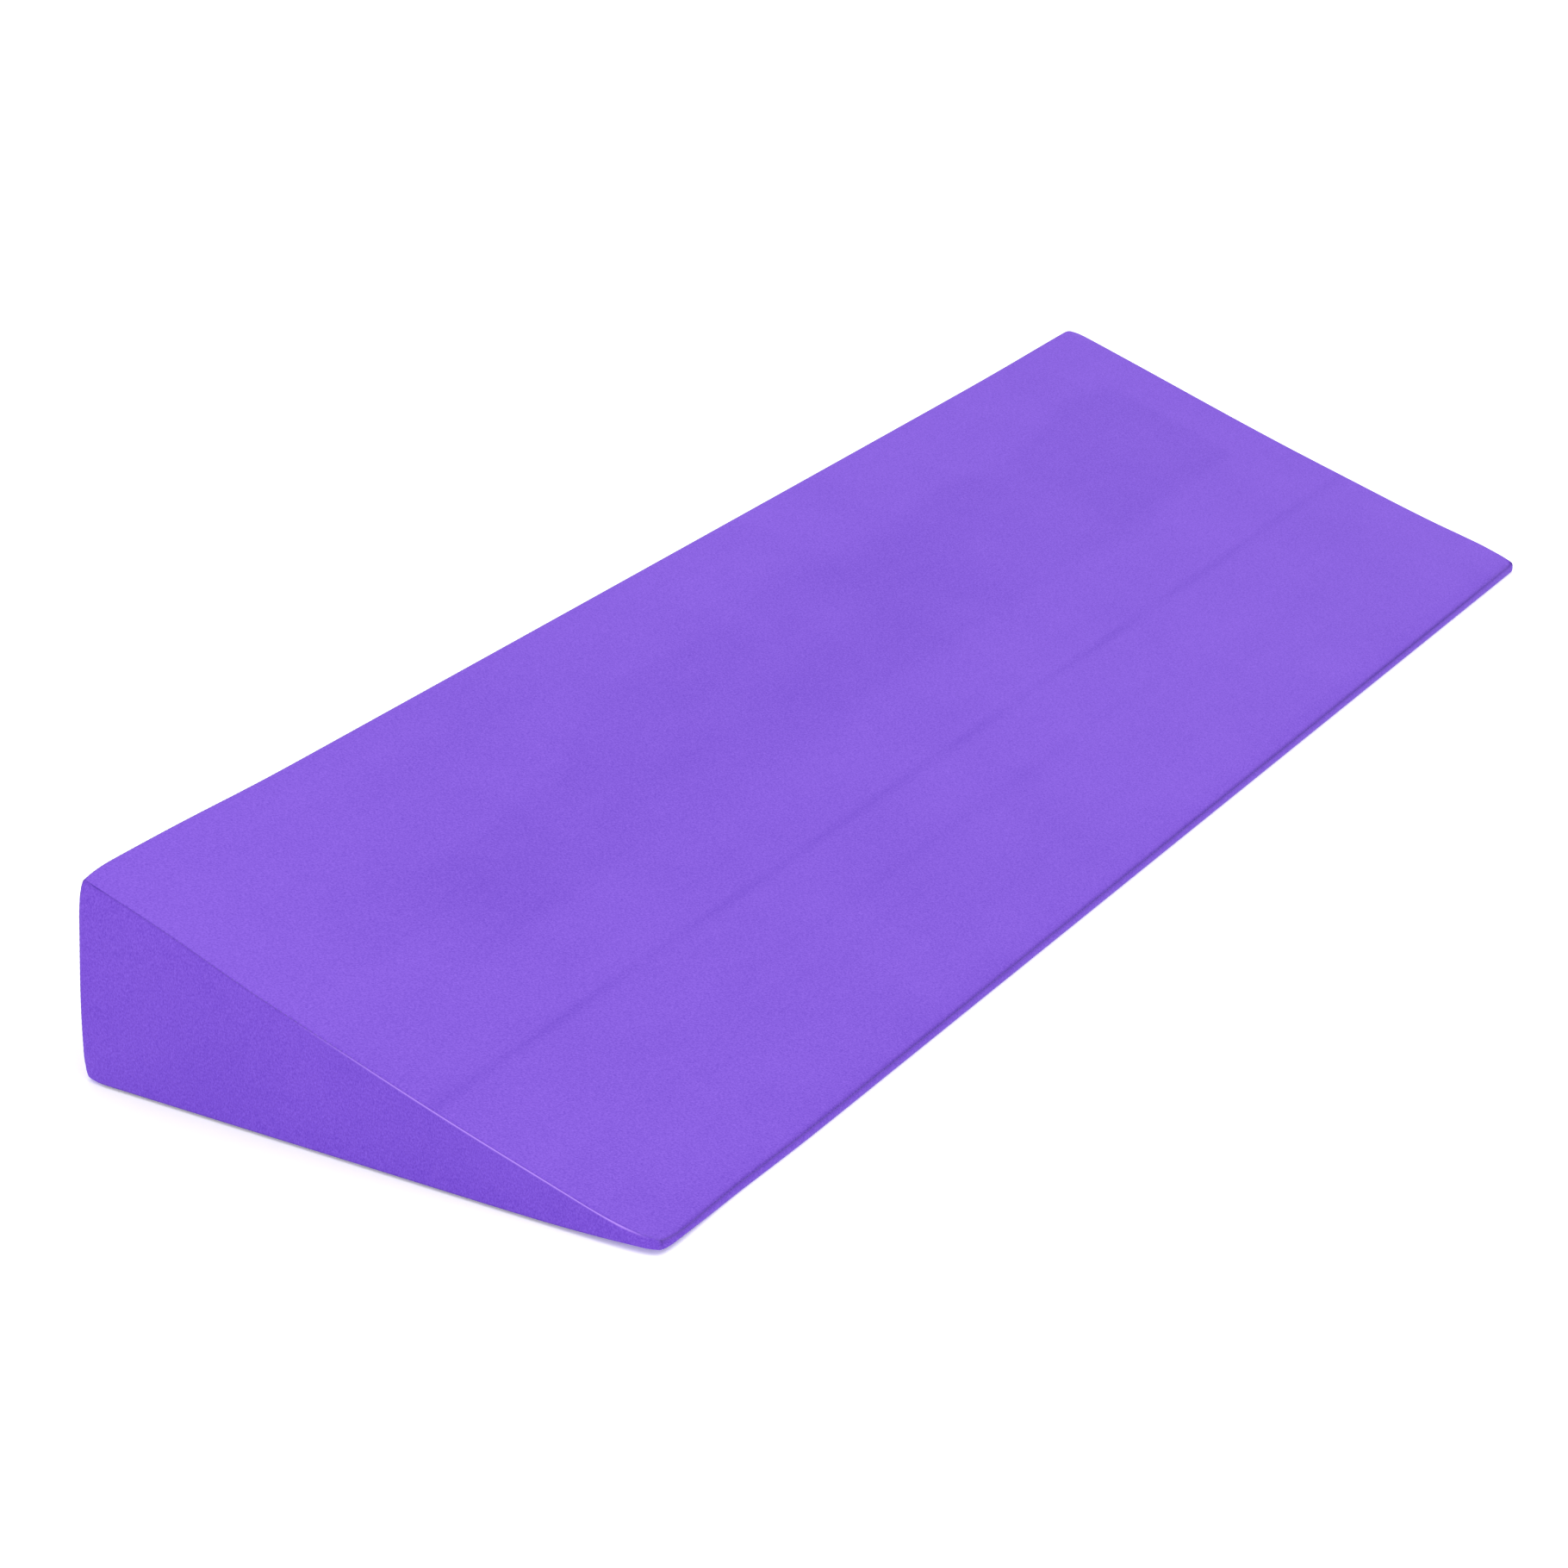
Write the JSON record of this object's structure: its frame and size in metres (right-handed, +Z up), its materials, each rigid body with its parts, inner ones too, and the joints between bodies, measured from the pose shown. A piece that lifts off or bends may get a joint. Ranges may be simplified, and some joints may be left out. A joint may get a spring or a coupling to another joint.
{
  "type": "incline wedge mat",
  "caption": "Low incline wedge mat: a foam wedge in a sewn suede cover that closes with a zip along its high back face.",
  "frame": {"origin": "bottom centre of the box around the whole mat, zip slider included, on the surface the mat stands on", "axes": "+X along the mat's length, +Y from the low nose to the high back, +Z up"},
  "size_m": [1.016, 0.3134, 0.1],
  "materials": {
    "suede": "brushed microfibre suede, matte",
    "foam": "firm charcoal foam, matte",
    "thread": "polyester sewing thread, satin",
    "zip_tape": "woven polyester tape, matte",
    "zip_coil": "nylon coil, satin",
    "nickel": "nickel plate, satin",
    "ribbon": "woven satin ribbon, matte"
  },
  "bodies": {
    "cover": {"foam_core": "foam", "top_panel": "suede", "bottom_panel": "suede", "left_end_panel": "suede", "right_end_panel": "suede", "back_panel_upper": "suede", "back_panel_lower": "suede", "nose_seam_thread": "thread", "top_back_seam_thread": "thread", "bottom_back_seam_thread": "thread", "top_left_seam_thread": "thread", "top_right_seam_thread": "thread", "bottom_left_seam_thread": "thread", "bottom_right_seam_thread": "thread", "back_left_seam_thread": "thread", "back_right_seam_thread": "thread", "zip_stitching_upper": "thread", "zip_stitching_lower": "thread", "zip_tape_upper": "zip_tape", "zip_tape_lower": "zip_tape", "zip_coil_upper": "zip_coil", "zip_coil_lower": "zip_coil", "zip_top_stop_upper": "nickel", "zip_top_stop_lower": "nickel", "zip_bottom_stop": "nickel", "care_label": "ribbon"},
    "slider": {"zip_slider": "nickel"},
    "pull_tab": {"zip_pull_tab": "nickel"}
  },
  "joints": [
    {"name": "zip_slide", "type": "slide", "parent": "cover", "child": "slider", "axis": [1, 0, 0], "range_m": [0, 0.949]},
    {"name": "pull_tab_hinge", "type": "hinge", "parent": "slider", "child": "pull_tab", "pos_m": [-0.4745, 0.15463, 0.05], "axis": [0, 0, 1], "range_deg": [0, 180]}
  ]
}
